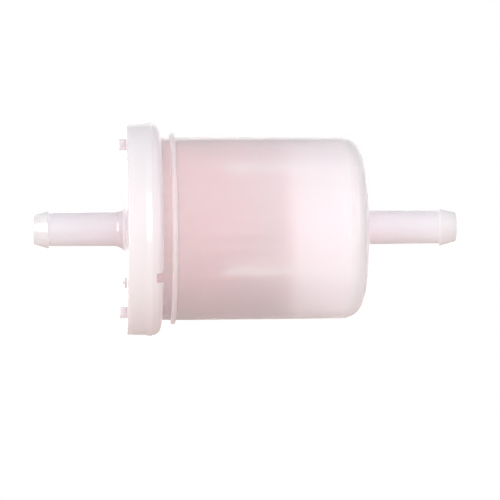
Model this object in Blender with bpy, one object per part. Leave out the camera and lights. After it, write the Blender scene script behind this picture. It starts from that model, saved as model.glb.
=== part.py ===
"""In-line fuel filter for a small engine: a welded two-piece housing around a pleated element.

The filter lies along X. The cap and its outlet nipple are at -X, the bowl and its inlet nipple
at +X, and the origin is halfway between the two nipple ends. Every turned outline is a closed
list of (x, radius) points, which runs along its outer side from +X to -X and comes back inside.
"""

import math

import bmesh
import bpy
from mathutils import Matrix

MM = 0.001

# Whole filter
HALF_LENGTH = 40.0 * MM
TURN_STEPS = 40
INNER_TURN_STEPS = 32
FILLET_STEPS = 3
CORNER_STEPS = 6
SMALL_ROUND_STEPS = 2
SHARP_ANGLE = math.radians(30.0)
GAP = 0.3 * MM

# Hose nipples, for a 6.35 mm (1/4 inch) hose
BORE_RADIUS = 1.75 * MM
BORE_CHAMFER = 0.15 * MM
SHANK_TIP_RADIUS = 3.19 * MM
SHANK_ROOT_RADIUS = 3.28 * MM
BARB_RADIUS = 3.62 * MM
BARB_TIP_RADIUS = 2.80 * MM
BARB_TIP_ROUND = 0.20 * MM
BARB_LAND = 0.20 * MM
BARB_STEP = 0.30 * MM
OUTLET_BARB_LENGTH = 2.65 * MM
INLET_BARB_LENGTH = 3.00 * MM

# Cap
CAP_FACE_X = -22.6 * MM
CAP_FLOOR_X = -21.0 * MM
CAP_RIM_RADIUS = 20.07 * MM
CAP_RIM_ROUND = 0.40 * MM
CAP_RADIUS = 20.20 * MM
CAP_END_X = -16.0 * MM
CAP_END_ROUND = 1.70 * MM
CAP_SKIRT_BORE = 17.75 * MM
CAP_SKIRT_CHAMFER = 0.25 * MM
PARTING_X = -18.2 * MM
PARTING_WIDTH = 0.50 * MM
PARTING_HEIGHT = 0.16 * MM
OUTLET_ROOT_LENGTH = 2.60 * MM
OUTLET_ROOT_HEIGHT = 0.65 * MM

# Spigot inside the cap, which carries the element
SPIGOT_RADIUS = 4.0 * MM
SPIGOT_END_X = -13.0 * MM
SPIGOT_CHAMFER = 0.35 * MM
SEAL_X = -16.5 * MM
SEAL_RING_RADIUS = 4.2 * MM
SEAL_CORD_RADIUS = 0.7 * MM
SEAL_CORD_STEPS = 10
SEAL_GROOVE_RADIUS = 3.15 * MM

# Drive lugs and gate pip on the cap's face, and the notch in its skirt
LUG_CENTRE = 15.8 * MM
LUG_DEPTH = 2.15 * MM
LUG_WIDTH = 4.5 * MM
LUG_HEIGHT = 1.30 * MM
LUG_BEVEL = 0.20 * MM
PIP_Z = -10.2 * MM
PIP_RADIUS = 1.0 * MM
PIP_HEIGHT = 0.30 * MM
PIP_NUB_RADIUS = 0.25 * MM
PIP_NUB_HEIGHT = 0.25 * MM
PIP_STEPS = 20
PIP_NUB_STEPS = 8
NOTCH_HEIGHT = 1.6 * MM
NOTCH_DEPTH = 1.3 * MM
NOTCH_Z = -9.42 * MM
NOTCH_BACK_Y = -13.5 * MM

# Bowl
BOWL_RIM_X = -19.9 * MM
BOWL_RIM_CHAMFER = 0.30 * MM
BOWL_NECK_RADIUS = 17.34 * MM
BOWL_RADIUS = 17.40 * MM
BOWL_END_RADIUS = 17.24 * MM
BOWL_END_X = 22.45 * MM
BOWL_CORNER = 5.0 * MM
BOWL_CORNER_STEPS = 8
BOWL_WALL = 1.5 * MM
BOWL_INNER_CORNER = 3.6 * MM
FLANGE_RADIUS = 18.2 * MM
FLANGE_START_X = -14.5 * MM
FLANGE_END_X = -13.5 * MM
FLANGE_ROUND = 0.30 * MM
INLET_ROOT = 0.60 * MM
INLET_FUNNEL = 0.45 * MM

# Ribs inside the bowl, which keep the element central
RIB_COUNT = 5
RIB_START_X = -4.9 * MM
RIB_TIP_RADIUS = 14.2 * MM
RIB_THICKNESS = 1.7 * MM
RIB_FIRST_ANGLE = math.radians(42.6)
RIB_RAMP = 0.35 * MM
RIB_SINK = 0.35 * MM
RIB_END_RELIEF = 1.2 * MM

# Weld between the bowl's rim and the cap's floor
WELD_INNER_RADIUS = 16.1 * MM
WELD_OUTER_RADIUS = 17.1 * MM

# Element: end discs, potting, media, seam and core
DISC_THICKNESS = 1.2 * MM
OUTLET_DISC_X = -20.6 * MM
OUTLET_DISC_RADIUS = 15.2 * MM
OUTLET_LIP_THICKNESS = 0.8 * MM
OUTLET_LIP_HEIGHT = 2.5 * MM
OUTLET_DISC_CHAMFER = 0.2 * MM
COLLAR_BORE = 5.2 * MM
COLLAR_RADIUS = 6.2 * MM
COLLAR_END_X = -13.6 * MM
POTTING_THICKNESS = 1.0 * MM
POTTING_ROUND = 0.25 * MM
CLOSED_DISC_END_X = 9.2 * MM
CLOSED_DISC_RADIUS = 13.8 * MM
CLOSED_DISC_ROUND = 0.35 * MM
CLOSED_DISC_DISH = 0.4 * MM
CORE_RADIUS = 7.8 * MM
CORE_WALL = 0.9 * MM
CORE_COLUMNS = 8
CORE_ROWS = 5
CORE_COLUMN_STEPS = 5
CORE_WINDOW_STEPS = 3
CORE_BAND = 1.6 * MM
MEDIA_OUTER_RADIUS = 13.9 * MM
MEDIA_INNER_RADIUS = 8.3 * MM
MEDIA_THICKNESS = 0.45 * MM
MEDIA_PLEATS = 32
FOLD_STEPS = 3
OUTER_FOLD_RADIUS = 0.34 * MM
INNER_FOLD_RADIUS = 0.28 * MM
SEAM_ANGLE = math.radians(60.0)
SEAM_THICKNESS = 0.5 * MM
SEAM_INNER_RADIUS = 9.6 * MM
SEAM_OUTER_RADIUS = 13.4 * MM


def clear_scene():
    for thing in list(bpy.data.objects):
        bpy.data.objects.remove(thing, do_unlink=True)


def material(name, colour, roughness, alpha=1.0, transmission=0.0):
    """A Principled material with one colour."""
    made = bpy.data.materials.new(name)
    made.use_nodes = True
    shader = made.node_tree.nodes["Principled BSDF"]
    shader.inputs["Base Color"].default_value = (*colour, 1.0)
    shader.inputs["Roughness"].default_value = roughness
    shader.inputs["Metallic"].default_value = 0.0
    shader.inputs["Alpha"].default_value = alpha
    shader.inputs["Transmission Weight"].default_value = transmission
    return made


def add_object(name, mesh, hidden=False):
    """Link a mesh to the scene. A hidden one only shapes other pieces."""
    made = bpy.data.objects.new(name, mesh)
    bpy.context.scene.collection.objects.link(made)
    if hidden:
        made.hide_render = True
        made.display_type = "WIRE"
    return made


def arc(centre_x, centre_r, radius, start_degrees, end_degrees, steps):
    """Points of a round stretch of an outline; 0 degrees is +X and 90 degrees is outward."""
    points = []
    for step in range(steps + 1):
        turn = math.radians(start_degrees + (end_degrees - start_degrees) * step / steps)
        points.append((centre_x + radius * math.cos(turn), centre_r + radius * math.sin(turn)))
    return points


def turned(name, outline, steps=TURN_STEPS):
    """Turn a closed outline about the X axis with a Screw modifier."""
    mesh = bpy.data.meshes.new(name)
    points = [(x, radius, 0.0) for x, radius in outline]
    count = len(points)
    mesh.from_pydata(points, [(i, (i + 1) % count) for i in range(count)], [])
    made = add_object(name, mesh)
    screw = made.modifiers.new("Turn", "SCREW")
    screw.axis = "X"
    screw.steps = steps
    screw.render_steps = steps
    screw.use_merge_vertices = True
    screw.merge_threshold = 0.00001
    return made


def boolean(target, tool, operation):
    cut = target.modifiers.new(operation.title(), "BOOLEAN")
    cut.operation = operation
    cut.solver = "EXACT"
    cut.object = tool


def settle(made, piece_material, group):
    """Fix the modifiers' result as the piece's own mesh, shade it and put it in the group."""
    layer = bpy.context.evaluated_depsgraph_get()
    mesh = bpy.data.meshes.new_from_object(made.evaluated_get(layer))
    made.modifiers.clear()
    made.data = mesh
    mesh.name = made.name
    mesh.shade_smooth()
    mesh.set_sharp_from_angle(angle=SHARP_ANGLE)
    mesh.materials.clear()
    mesh.materials.append(piece_material)
    made.parent = group


def box(name, low, high, bevel=0.0):
    """A hidden box between two corners, with its edges bevelled."""
    bm = bmesh.new()
    size = [high[i] - low[i] for i in range(3)]
    middle = [(high[i] + low[i]) / 2 for i in range(3)]
    place = Matrix.Translation(middle) @ Matrix.Diagonal((*size, 1.0))
    bmesh.ops.create_cube(bm, size=1.0, matrix=place)
    if bevel:
        bmesh.ops.bevel(bm, geom=bm.edges[:], offset=bevel, segments=2, profile=0.5, affect="EDGES")
    mesh = bpy.data.meshes.new(name)
    bm.to_mesh(mesh)
    bm.free()
    return add_object(name, mesh, hidden=True)


def post(name, start_x, end_x, radius, z, steps):
    """A hidden round post along X."""
    bm = bmesh.new()
    place = Matrix.Translation(((start_x + end_x) / 2, 0.0, z)) @ Matrix.Rotation(math.pi / 2, 4, "Y")
    bmesh.ops.create_cone(
        bm,
        cap_ends=True,
        segments=steps,
        radius1=radius,
        radius2=radius,
        depth=abs(end_x - start_x),
        matrix=place,
    )
    mesh = bpy.data.meshes.new(name)
    bm.to_mesh(mesh)
    bm.free()
    return add_object(name, mesh, hidden=True)


def around_x(angle):
    """Rotation about X that carries the -Y side upward by the given angle."""
    return -angle


def outlet_nipple_outline():
    """Outer side of the cap's nipple, from its root to the bore's mouth."""
    tip_x = -HALF_LENGTH
    barb_end_x = tip_x + OUTLET_BARB_LENGTH
    points = []
    for step in range(CORNER_STEPS + 1):
        share = step / CORNER_STEPS
        x = CAP_FACE_X - OUTLET_ROOT_LENGTH * share
        flare = OUTLET_ROOT_HEIGHT * (1.0 - math.sqrt(1.0 - (1.0 - share) ** 2))
        points.append((x, SHANK_ROOT_RADIUS + flare))
    points += [
        (barb_end_x + BARB_LAND + BARB_STEP, SHANK_TIP_RADIUS),
        (barb_end_x + BARB_LAND, BARB_RADIUS),
        (barb_end_x, BARB_RADIUS),
    ]
    points += arc(
        tip_x + BARB_TIP_ROUND,
        BARB_TIP_RADIUS - BARB_TIP_ROUND,
        BARB_TIP_ROUND,
        110,
        180,
        SMALL_ROUND_STEPS,
    )
    points += [(tip_x, BORE_RADIUS + BORE_CHAMFER), (tip_x + BORE_CHAMFER, BORE_RADIUS)]
    return points


def inlet_nipple_outline():
    """Outer side of the bowl's nipple, from the bore's mouth to its root."""
    tip_x = HALF_LENGTH
    barb_start_x = tip_x - INLET_BARB_LENGTH
    points = [(tip_x - BORE_CHAMFER, BORE_RADIUS), (tip_x, BORE_RADIUS + BORE_CHAMFER)]
    points += arc(
        tip_x - BARB_TIP_ROUND,
        BARB_TIP_RADIUS - BARB_TIP_ROUND,
        BARB_TIP_ROUND,
        0,
        70,
        SMALL_ROUND_STEPS,
    )
    points += [
        (barb_start_x, BARB_RADIUS),
        (barb_start_x - BARB_LAND, BARB_RADIUS),
        (barb_start_x - BARB_LAND - BARB_STEP / 2, SHANK_TIP_RADIUS),
    ]
    root_radius = SHANK_ROOT_RADIUS + INLET_ROOT
    points += arc(BOWL_END_X + INLET_ROOT, root_radius, INLET_ROOT, 270, 180, FILLET_STEPS)
    return points


def cap_outline():
    """The cap: skirt, face, nipple, bore and spigot."""
    end_centre_x = CAP_END_X - CAP_END_ROUND
    points = arc(end_centre_x, CAP_RADIUS - CAP_END_ROUND, CAP_END_ROUND, 0, 90, CORNER_STEPS)
    points += [
        (PARTING_X + PARTING_WIDTH / 2, CAP_RADIUS),
        (PARTING_X + PARTING_WIDTH / 4, CAP_RADIUS + PARTING_HEIGHT),
        (PARTING_X - PARTING_WIDTH / 4, CAP_RADIUS + PARTING_HEIGHT),
        (PARTING_X - PARTING_WIDTH / 2, CAP_RADIUS),
    ]
    rim_x = CAP_FACE_X + CAP_RIM_ROUND
    points += arc(rim_x, CAP_RIM_RADIUS - CAP_RIM_ROUND, CAP_RIM_ROUND, 90, 180, FILLET_STEPS)
    points += outlet_nipple_outline()
    groove_half = SEAL_CORD_RADIUS + GAP
    points += [
        (SPIGOT_END_X - BORE_CHAMFER, BORE_RADIUS),
        (SPIGOT_END_X, BORE_RADIUS + BORE_CHAMFER),
        (SPIGOT_END_X, SPIGOT_RADIUS - SPIGOT_CHAMFER),
        (SPIGOT_END_X - SPIGOT_CHAMFER, SPIGOT_RADIUS),
        (SEAL_X + groove_half, SPIGOT_RADIUS),
        (SEAL_X + groove_half, SEAL_GROOVE_RADIUS),
        (SEAL_X - groove_half, SEAL_GROOVE_RADIUS),
        (SEAL_X - groove_half, SPIGOT_RADIUS),
        (CAP_FLOOR_X, SPIGOT_RADIUS),
        (CAP_FLOOR_X, CAP_SKIRT_BORE - CAP_SKIRT_CHAMFER),
        (CAP_FLOOR_X + CAP_SKIRT_CHAMFER, CAP_SKIRT_BORE),
        (CAP_END_X - CAP_SKIRT_CHAMFER, CAP_SKIRT_BORE),
        (CAP_END_X, CAP_SKIRT_BORE + CAP_SKIRT_CHAMFER),
    ]
    return points


def bowl_outline():
    """The bowl: nipple, domed end, wall, flange and neck."""
    corner_x = BOWL_END_X - BOWL_CORNER
    points = inlet_nipple_outline()
    points += arc(corner_x, BOWL_END_RADIUS - BOWL_CORNER, BOWL_CORNER, 0, 90, BOWL_CORNER_STEPS)
    points.append((FLANGE_END_X, BOWL_RADIUS))
    flange_r = FLANGE_RADIUS - FLANGE_ROUND
    points += arc(FLANGE_END_X - FLANGE_ROUND, flange_r, FLANGE_ROUND, 0, 90, SMALL_ROUND_STEPS)
    points += arc(FLANGE_START_X + FLANGE_ROUND, flange_r, FLANGE_ROUND, 90, 180, SMALL_ROUND_STEPS)
    points += [
        (FLANGE_START_X, BOWL_NECK_RADIUS),
        (BOWL_RIM_X + BOWL_RIM_CHAMFER, BOWL_NECK_RADIUS),
        (BOWL_RIM_X, BOWL_NECK_RADIUS - BOWL_RIM_CHAMFER),
        (BOWL_RIM_X, BOWL_RADIUS - BOWL_WALL),
    ]
    inner_end_x = BOWL_END_X - BOWL_WALL
    inner_corner_x = inner_end_x - BOWL_INNER_CORNER
    inner_end_radius = BOWL_END_RADIUS - BOWL_WALL
    points += arc(
        inner_corner_x,
        inner_end_radius - BOWL_INNER_CORNER,
        BOWL_INNER_CORNER,
        90,
        0,
        CORNER_STEPS,
    )
    points += [(inner_end_x, BORE_RADIUS + INLET_FUNNEL), (inner_end_x + INLET_FUNNEL, BORE_RADIUS)]
    return points


def rib_tools():
    """Hidden ribs: flat bars along the bowl's wall, sunk into it and into its end."""
    wall_radius = BOWL_RADIUS - BOWL_WALL + RIB_SINK
    end_x = BOWL_END_X - BOWL_WALL - RIB_SINK
    side = [
        (RIB_START_X, wall_radius),
        (RIB_START_X, RIB_TIP_RADIUS + RIB_RAMP),
        (RIB_START_X + RIB_RAMP, RIB_TIP_RADIUS),
        (end_x, RIB_TIP_RADIUS),
        (end_x, RIB_TIP_RADIUS + 2 * RIB_RAMP),
        (end_x - RIB_END_RELIEF, wall_radius),
    ]
    tools = []
    for index in range(RIB_COUNT):
        name = f"rib_tool_{index}"
        bm = bmesh.new()
        corners = [bm.verts.new((x, -radius, -RIB_THICKNESS / 2)) for x, radius in side]
        face = bm.faces.new(corners)
        raised = bmesh.ops.extrude_face_region(bm, geom=[face])["geom"]
        verts = [item for item in raised if isinstance(item, bmesh.types.BMVert)]
        bmesh.ops.translate(bm, verts=verts, vec=(0.0, 0.0, RIB_THICKNESS))
        bmesh.ops.recalc_face_normals(bm, faces=bm.faces[:])
        mesh = bpy.data.meshes.new(name)
        bm.to_mesh(mesh)
        bm.free()
        tool = add_object(name, mesh, hidden=True)
        tool.rotation_euler.x = around_x(RIB_FIRST_ANGLE + index * 2 * math.pi / RIB_COUNT)
        tools.append(tool)
    return tools


def add_cap(plastic, group):
    """The cap with its drive lugs and gate pip, and a notch cut in the skirt's edge."""
    cap = turned("cap", cap_outline())
    sunk_x = (CAP_FACE_X + CAP_FLOOR_X) / 2
    for side, name in ((1, "lug_tool_top"), (-1, "lug_tool_bottom")):
        middle = side * LUG_CENTRE
        low = (CAP_FACE_X - LUG_HEIGHT, -LUG_WIDTH / 2, middle - LUG_DEPTH / 2)
        high = (sunk_x, LUG_WIDTH / 2, middle + LUG_DEPTH / 2)
        boolean(cap, box(name, low, high, LUG_BEVEL), "UNION")
    pip_x = CAP_FACE_X - PIP_HEIGHT
    boolean(cap, post("pip_tool", pip_x, sunk_x, PIP_RADIUS, PIP_Z, PIP_STEPS), "UNION")
    nub_x = pip_x - PIP_NUB_HEIGHT
    boolean(cap, post("nub_tool", nub_x, sunk_x, PIP_NUB_RADIUS, PIP_Z, PIP_NUB_STEPS), "UNION")
    low = (CAP_END_X - NOTCH_DEPTH, -CAP_RADIUS - MM, NOTCH_Z - NOTCH_HEIGHT / 2)
    high = (CAP_END_X + MM, NOTCH_BACK_Y, NOTCH_Z + NOTCH_HEIGHT / 2)
    boolean(cap, box("notch_tool", low, high), "DIFFERENCE")
    settle(cap, plastic, group)


def add_bowl(plastic, group):
    bowl = turned("bowl", bowl_outline())
    for tool in rib_tools():
        boolean(bowl, tool, "UNION")
    settle(bowl, plastic, group)


def add_weld_bead(plastic, group):
    """Ring of melted plastic between the bowl's rim and the cap's floor."""
    low_x = CAP_FLOOR_X + GAP
    high_x = BOWL_RIM_X - GAP
    outline = [
        (high_x, WELD_INNER_RADIUS),
        (high_x, WELD_OUTER_RADIUS),
        (low_x, WELD_OUTER_RADIUS),
        (low_x, WELD_INNER_RADIUS),
    ]
    settle(turned("weld_bead", outline), plastic, group)


def add_outlet_end_disc(plastic, group):
    """Plate with a lip round the pleats and a collar round the spigot."""
    inner_x = OUTLET_DISC_X + DISC_THICKNESS
    lip_x = inner_x + OUTLET_LIP_HEIGHT
    lip_radius = OUTLET_DISC_RADIUS - OUTLET_LIP_THICKNESS
    edge = OUTLET_DISC_CHAMFER
    outline = [
        (lip_x, lip_radius),
        (lip_x, OUTLET_DISC_RADIUS - edge),
        (lip_x - edge, OUTLET_DISC_RADIUS),
        (OUTLET_DISC_X + edge, OUTLET_DISC_RADIUS),
        (OUTLET_DISC_X, OUTLET_DISC_RADIUS - edge),
        (OUTLET_DISC_X, COLLAR_BORE + edge),
        (OUTLET_DISC_X + edge, COLLAR_BORE),
        (COLLAR_END_X, COLLAR_BORE),
        (COLLAR_END_X, COLLAR_RADIUS),
        (inner_x, COLLAR_RADIUS),
        (inner_x, lip_radius),
    ]
    settle(turned("outlet_end_disc", outline, INNER_TURN_STEPS), plastic, group)


def potting(name, low_x, outer_radius, glue, group):
    """A ring of glue with rounded outer edges."""
    high_x = low_x + POTTING_THICKNESS
    inner_radius = CORE_RADIUS + GAP
    outline = [(high_x, inner_radius), (high_x, outer_radius - POTTING_ROUND)]
    outline += [(high_x - POTTING_ROUND, outer_radius), (low_x + POTTING_ROUND, outer_radius)]
    outline += [(low_x, outer_radius - POTTING_ROUND), (low_x, inner_radius)]
    settle(turned(name, outline, INNER_TURN_STEPS), glue, group)
    return high_x


def add_closed_end_disc(plastic, group):
    """Plate that closes the element, with a rounded rim and a shallow dish in its middle."""
    low_x = CLOSED_DISC_END_X - DISC_THICKNESS
    dish_radius = CORE_RADIUS - CORE_WALL - 2 * GAP
    points = [
        (CLOSED_DISC_END_X - CLOSED_DISC_DISH, 0.0),
        (CLOSED_DISC_END_X - CLOSED_DISC_DISH, dish_radius - CLOSED_DISC_DISH),
        (CLOSED_DISC_END_X, dish_radius),
    ]
    points += arc(
        CLOSED_DISC_END_X - CLOSED_DISC_ROUND,
        CLOSED_DISC_RADIUS - CLOSED_DISC_ROUND,
        CLOSED_DISC_ROUND,
        0,
        90,
        FILLET_STEPS,
    )
    points += [(low_x, CLOSED_DISC_RADIUS), (low_x, 0.0)]
    settle(turned("closed_end_disc", points, INNER_TURN_STEPS), plastic, group)


def add_spigot_seal(rubber, group):
    """Rubber ring in the spigot's groove."""
    section = arc(SEAL_X, SEAL_RING_RADIUS, SEAL_CORD_RADIUS, 0, 360, SEAL_CORD_STEPS)[:-1]
    settle(turned("spigot_seal", section, INNER_TURN_STEPS), rubber, group)


def add_core_tube(low_x, high_x, plastic, group):
    """Tube wall laid out as a grid of faces with windows left open, then given its thickness."""
    around = CORE_COLUMNS * CORE_COLUMN_STEPS
    window = ((high_x - low_x) - CORE_BAND * (CORE_ROWS + 1)) / CORE_ROWS
    stations = [low_x]
    for _ in range(CORE_ROWS):
        stations.append(stations[-1] + CORE_BAND)
        stations.append(stations[-1] + window)
    stations.append(high_x)
    bm = bmesh.new()
    rings = []
    for x in stations:
        ring = []
        for step in range(around):
            turn = 2 * math.pi * step / around
            ring.append(bm.verts.new((x, CORE_RADIUS * math.cos(turn), CORE_RADIUS * math.sin(turn))))
        rings.append(ring)
    for row in range(len(stations) - 1):
        for step in range(around):
            in_window = row % 2 == 1 and step % CORE_COLUMN_STEPS < CORE_WINDOW_STEPS
            if in_window:
                continue
            after = (step + 1) % around
            lower, upper = rings[row], rings[row + 1]
            bm.faces.new((lower[step], lower[after], upper[after], upper[step]))
    bmesh.ops.recalc_face_normals(bm, faces=bm.faces[:])
    mesh = bpy.data.meshes.new("core_tube")
    bm.to_mesh(mesh)
    bm.free()
    core = add_object("core_tube", mesh)
    solid = core.modifiers.new("Wall", "SOLIDIFY")
    solid.thickness = CORE_WALL
    solid.offset = -1.0
    solid.use_even_offset = True
    settle(core, plastic, group)


def around_centre(radius, angle):
    """The point (y, z) at a radius and an angle about the filter's axis."""
    return radius * math.cos(angle), radius * math.sin(angle)


def fold(centre_radius, angle, fold_radius, outward):
    """Points (y, z) round one fold of the media, in the direction of growing angle."""
    points = []
    centre_y, centre_z = around_centre(centre_radius, angle)
    for step in range(FOLD_STEPS):
        share = step / (FOLD_STEPS - 1)
        if outward:
            turn = angle - math.pi / 2 + math.pi * share
        else:
            turn = angle - math.pi / 2 - math.pi * share
        points.append((centre_y + fold_radius * math.cos(turn), centre_z + fold_radius * math.sin(turn)))
    return points


def media_path():
    """Centreline of the pleated sheet across the filter, from one side of the seam to the other."""
    half = MEDIA_THICKNESS / 2
    outer_centre = MEDIA_OUTER_RADIUS - half - OUTER_FOLD_RADIUS
    inner_centre = MEDIA_INNER_RADIUS + half + INNER_FOLD_RADIUS
    pitch = 2 * math.pi / MEDIA_PLEATS
    flap = SEAM_THICKNESS / 2 + GAP + half
    flap_radius = MEDIA_OUTER_RADIUS - half
    flap_turn = flap / flap_radius
    points = [around_centre(flap_radius, SEAM_ANGLE + flap_turn)]
    for pleat in range(MEDIA_PLEATS):
        inner_angle = SEAM_ANGLE + pitch * (pleat + 0.5)
        points += fold(inner_centre, inner_angle, INNER_FOLD_RADIUS, outward=False)
        if pleat < MEDIA_PLEATS - 1:
            outer_angle = SEAM_ANGLE + pitch * (pleat + 1)
            points += fold(outer_centre, outer_angle, OUTER_FOLD_RADIUS, outward=True)
    points.append(around_centre(flap_radius, SEAM_ANGLE - flap_turn))
    return points


def add_pleated_media(low_x, high_x, paper, group):
    """Pleated sheet: the centreline extruded along X and given the paper's thickness."""
    path = media_path()
    bm = bmesh.new()
    lower = [bm.verts.new((low_x, y, z)) for y, z in path]
    edges = [bm.edges.new((lower[i], lower[i + 1])) for i in range(len(lower) - 1)]
    raised = bmesh.ops.extrude_edge_only(bm, edges=edges)["geom"]
    verts = [item for item in raised if isinstance(item, bmesh.types.BMVert)]
    bmesh.ops.translate(bm, verts=verts, vec=(high_x - low_x, 0.0, 0.0))
    mesh = bpy.data.meshes.new("pleated_media")
    bm.to_mesh(mesh)
    bm.free()
    media = add_object("pleated_media", mesh)
    solid = media.modifiers.new("Paper", "SOLIDIFY")
    solid.thickness = MEDIA_THICKNESS
    solid.offset = 0.0
    solid.use_even_offset = True
    settle(media, paper, group)


def add_media_seam(low_x, high_x, glue, group):
    """Flat strip of glue between the two ends of the pleated sheet."""
    low = (low_x, SEAM_INNER_RADIUS, -SEAM_THICKNESS / 2)
    high = (high_x, SEAM_OUTER_RADIUS, SEAM_THICKNESS / 2)
    seam = box("media_seam", low, high)
    seam.hide_render = False
    seam.display_type = "TEXTURED"
    seam.rotation_euler.x = SEAM_ANGLE
    settle(seam, glue, group)


def main():
    clear_scene()
    group = bpy.data.objects.new("fuel_filter", None)
    bpy.context.scene.collection.objects.link(group)

    milky = material("milky_plastic", (0.90, 0.86, 0.86), 0.35, alpha=0.45, transmission=0.6)
    salmon = material("salmon_plastic", (0.75, 0.30, 0.22), 0.5)
    glue = material("pink_potting", (0.80, 0.35, 0.33), 0.6)
    paper = material("pink_paper", (0.78, 0.36, 0.36), 0.9)
    white = material("white_plastic", (0.85, 0.84, 0.82), 0.5)
    rubber = material("black_rubber", (0.03, 0.03, 0.03), 0.7)

    add_cap(milky, group)
    add_bowl(milky, group)
    add_weld_bead(milky, group)
    add_outlet_end_disc(salmon, group)

    outlet_disc_face = OUTLET_DISC_X + DISC_THICKNESS
    lip_radius = OUTLET_DISC_RADIUS - OUTLET_LIP_THICKNESS
    media_low = potting("outlet_potting", outlet_disc_face + GAP, lip_radius - GAP, glue, group) + GAP
    closed_disc_face = CLOSED_DISC_END_X - DISC_THICKNESS
    closed_low = closed_disc_face - GAP - POTTING_THICKNESS
    potting("closed_potting", closed_low, CLOSED_DISC_RADIUS, glue, group)
    media_high = closed_low - GAP

    add_pleated_media(media_low, media_high, paper, group)
    add_media_seam(media_low, media_high, glue, group)
    add_core_tube(outlet_disc_face + GAP, closed_disc_face - GAP, white, group)
    add_closed_end_disc(salmon, group)
    add_spigot_seal(rubber, group)


main()
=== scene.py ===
"""Studio scene of an in-line fuel filter: see-through milky housing around a pink pleated element.

Lengths are in metres. The filter lies along X, with the cap at -X and the bowl at +X. A turned
outline is a closed list of (x, radius, rounding, side) corners, where side picks the material of
the stretch that starts at that corner. Colours are linear (red, green, blue).
"""

import math
import random

import bmesh
import bpy
from mathutils import Matrix, Vector


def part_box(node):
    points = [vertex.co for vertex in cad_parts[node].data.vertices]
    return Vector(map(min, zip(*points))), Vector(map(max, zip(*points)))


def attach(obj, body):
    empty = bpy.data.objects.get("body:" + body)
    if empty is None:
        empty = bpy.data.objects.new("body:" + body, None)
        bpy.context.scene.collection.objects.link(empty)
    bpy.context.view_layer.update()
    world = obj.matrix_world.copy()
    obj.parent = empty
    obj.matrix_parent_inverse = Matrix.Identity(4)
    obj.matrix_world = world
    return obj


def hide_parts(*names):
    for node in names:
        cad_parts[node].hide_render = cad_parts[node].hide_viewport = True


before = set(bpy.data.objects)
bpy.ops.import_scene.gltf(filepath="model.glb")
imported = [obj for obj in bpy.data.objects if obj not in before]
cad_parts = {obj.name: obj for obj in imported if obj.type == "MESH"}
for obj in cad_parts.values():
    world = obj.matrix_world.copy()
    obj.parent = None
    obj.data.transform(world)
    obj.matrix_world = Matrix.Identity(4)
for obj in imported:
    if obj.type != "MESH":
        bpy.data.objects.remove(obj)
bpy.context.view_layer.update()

MM = 0.001

# Material sides of the housing's two pieces
OUTSIDE, INSIDE, NIPPLE, RIB, RING = 0, 1, 2, 3, 4

# Fineness of the meshes: steps round a turned piece, the angle from which an edge stays sharp,
# the stretch of an outline that gets no more points, how close to its ends the others get one,
# the distance at which points are one, and the size that counts as nothing
AROUND = 160
SHARP_ANGLE = math.radians(32.0)
SHORT_STRETCH = 0.4 * MM
END_MARGIN = 0.06 * MM
SLIVER = 0.0005 * MM
TINY = 0.0001 * MM


# ---------------------------------------------------------------- mesh helpers

def rounded(corners, steps=5):
    """Round each corner of a closed outline; returns (x, radius, side) points."""
    points = []
    count = len(corners)
    for index, (x, radius, fillet, side) in enumerate(corners):
        here = Vector((x, radius))
        before = Vector(corners[index - 1][:2]) - here
        after = Vector(corners[(index + 1) % count][:2]) - here
        last_side = corners[index - 1][3]
        if fillet <= 0.0:
            points.append((x, radius, side))
            continue
        opening = before.angle(after)
        reach = fillet / math.tan(opening / 2)
        reach = min(reach, 0.48 * before.length, 0.48 * after.length)
        fillet = reach * math.tan(opening / 2)
        start = here + before.normalized() * reach
        end = here + after.normalized() * reach
        bisector = (before.normalized() + after.normalized()).normalized()
        centre = here + bisector * (fillet / math.sin(opening / 2))
        swing = (end - centre).angle_signed(start - centre)
        for step in range(steps + 1):
            turn = swing * step / steps
            spoke = start - centre
            cos, sin = math.cos(turn), math.sin(turn)
            spot = centre + Vector((spoke.x * cos - spoke.y * sin, spoke.x * sin + spoke.y * cos))
            points.append((spot.x, spot.y, last_side if step < steps / 2 else side))
    return points


def quarter_round(end, radius, fillet, steps=8):
    """Corners of a quarter round on the outside, from the end face at x = end to the radius."""
    corners = []
    for step in range(steps + 1):
        turn = math.pi / 2 * step / steps
        x = end - fillet * (1.0 - math.cos(turn))
        corners.append((x, radius - fillet * (1.0 - math.sin(turn)), 0.0, OUTSIDE))
    return corners


def split_long(points, longest):
    """Add points along long straight stretches, with one close to each end."""
    result = []
    count = len(points)
    for index, (x, radius, side) in enumerate(points):
        result.append((x, radius, side))
        next_x, next_radius, _ = points[(index + 1) % count]
        length = math.hypot(next_x - x, next_radius - radius)
        if length < SHORT_STRETCH:
            continue
        parts = max(1, math.ceil(length / longest))
        shares = [END_MARGIN / length]
        shares += [part / parts for part in range(1, parts)]
        shares.append(1.0 - END_MARGIN / length)
        for share in shares:
            share_x = x + (next_x - x) * share
            result.append((share_x, radius + (next_radius - radius) * share, side))
    return result


def mesh_from(bm, name):
    mesh = bpy.data.meshes.new(name)
    bm.to_mesh(mesh)
    bm.free()
    return mesh


def link(name, mesh, materials):
    piece = bpy.data.objects.new(name, mesh)
    for one in materials:
        mesh.materials.append(one)
    bpy.context.scene.collection.objects.link(piece)
    return piece


def smooth_piece(bm, name, materials):
    """Link a closed bmesh as a piece that is smooth apart from its creases."""
    bmesh.ops.recalc_face_normals(bm, faces=bm.faces[:])
    for face in bm.faces:
        face.smooth = True
    mesh = mesh_from(bm, name)
    mesh.set_sharp_from_angle(angle=SHARP_ANGLE)
    return link(name, mesh, materials)


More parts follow.
